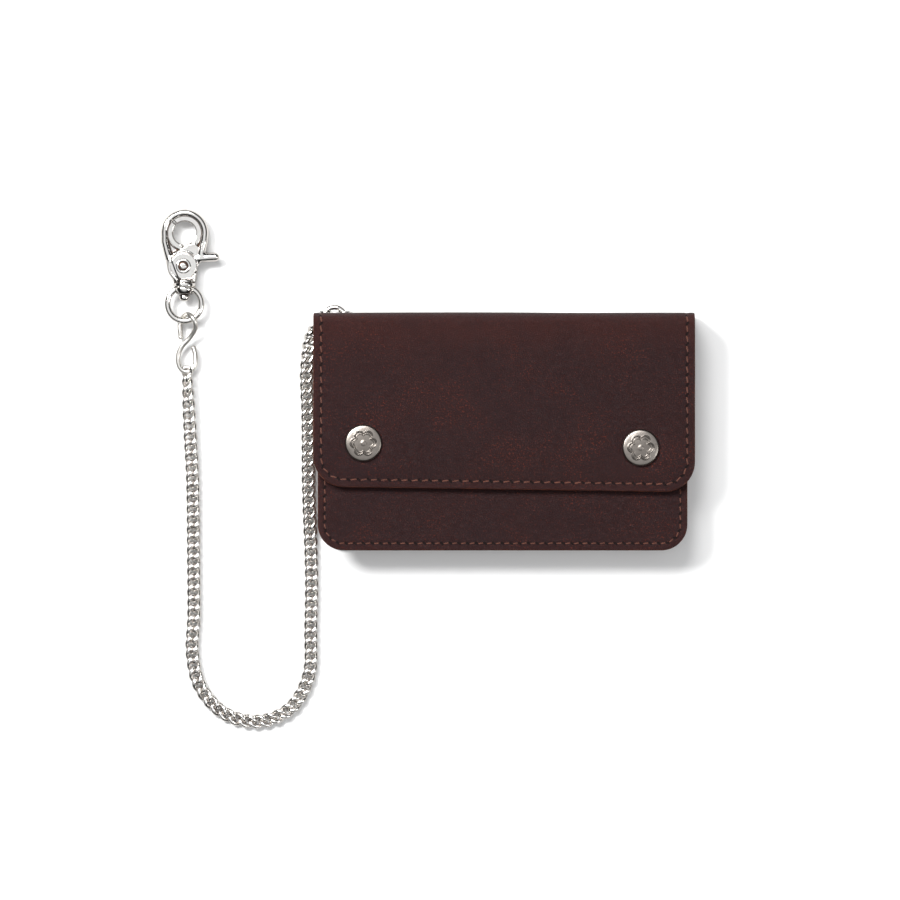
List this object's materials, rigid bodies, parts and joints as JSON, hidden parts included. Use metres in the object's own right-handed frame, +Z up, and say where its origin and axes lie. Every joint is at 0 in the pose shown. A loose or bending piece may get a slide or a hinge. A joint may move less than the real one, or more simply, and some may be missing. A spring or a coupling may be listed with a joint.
{
  "type": "chain wallet",
  "caption": "Long leather wallet with a snap-down flap, lying closed, with a curb chain ending in a swivel snap clasp.",
  "frame": {"origin": "on the surface the wallet lies on, under the middle of the closed wallet; the chain and clasp lie beside it at -X", "axes": "+X along the fold, +Y from the bottom edge towards the fold, +Z up out of the flap"},
  "size_m": [0.2319, 0.2262, 0.0246],
  "materials": {
    "outer_leather": "dark reddish brown oiled leather, satin, with fine grain and lighter pull-up marks",
    "inner_leather": "brown thin leather, matt",
    "thread": "mid brown waxed thread",
    "nickel": "bright polished nickel",
    "antique_nickel": "antique nickel, dark in its recesses",
    "zip_brass": "plain brass",
    "zip_tape": "black woven tape"
  },
  "bodies": {
    "wallet_body": {"back_panel": "outer_leather", "front_panel": "outer_leather", "bill_divider": "inner_leather", "card_pocket_1": "inner_leather", "card_pocket_2": "inner_leather", "card_pocket_3": "inner_leather", "coin_pocket_wall": "inner_leather", "gusset_left": "inner_leather", "gusset_right": "inner_leather", "gusset_bottom": "inner_leather", "body_thread": "thread", "snap_stud_left": "antique_nickel", "snap_stud_right": "antique_nickel", "snap_post_left": "antique_nickel", "snap_post_right": "antique_nickel", "zip_tape_front": "zip_tape", "zip_tape_back": "zip_tape", "zip_teeth_front": "zip_brass", "zip_teeth_back": "zip_brass", "zip_stop_left": "zip_brass", "zip_stop_right": "zip_brass", "chain": "nickel", "s_hook": "nickel", "swivel_ring": "nickel"},
    "spine": {"spine_fold": "outer_leather", "eyelet_left": "nickel", "eyelet_right": "nickel", "attachment_ring": "nickel"},
    "flap": {"flap_outer": "outer_leather", "flap_lining": "inner_leather", "flap_thread": "thread", "snap_cap_left": "antique_nickel", "snap_cap_right": "antique_nickel", "snap_socket_left": "antique_nickel", "snap_socket_right": "antique_nickel"},
    "zip_slider": {"zip_slider": "zip_brass"},
    "zip_pull": {"zip_pull": "zip_brass"},
    "clasp_body": {"clasp_housing": "nickel", "swivel_post": "nickel", "pivot_rivet": "nickel", "clasp_spring": "nickel"},
    "clasp_jaw": {"clasp_jaw": "nickel"}
  },
  "joints": [
    {"name": "fold_at_back", "type": "hinge", "parent": "wallet_body", "child": "spine", "pos_m": [0, 0.04964, 0.00186], "axis": [-1, 0, 0], "range_deg": [0, 90]},
    {"name": "fold_at_flap", "type": "hinge", "parent": "spine", "child": "flap", "pos_m": [0, 0.04964, 0.02044], "axis": [-1, 0, 0], "range_deg": [0, 90]},
    {"name": "zip_slide", "type": "slide", "parent": "wallet_body", "child": "zip_slider", "axis": [-1, 0, 0], "range_m": [0, 0.1]},
    {"name": "zip_pull_swing", "type": "hinge", "parent": "zip_slider", "child": "zip_pull", "pos_m": [0.05, 0.029, 0.0132], "axis": [0, 0, -1], "range_deg": [0, 180]},
    {"name": "clasp_swivel", "type": "hinge", "parent": "wallet_body", "child": "clasp_body", "pos_m": [-0.139, 0.064, 0.005], "axis": [0, 1, 0], "continuous": true},
    {"name": "jaw_pivot", "type": "hinge", "parent": "clasp_body", "child": "clasp_jaw", "pos_m": [-0.1394, 0.072, 0.005], "axis": [0, 0, -1], "range_deg": [0, 25], "stiffness_Nm_per_rad": 0.02, "springref_deg": -17.19}
  ],
  "couplings": [
    {"joint": "fold_at_flap", "follows": "fold_at_back", "ratio": 1}
  ]
}
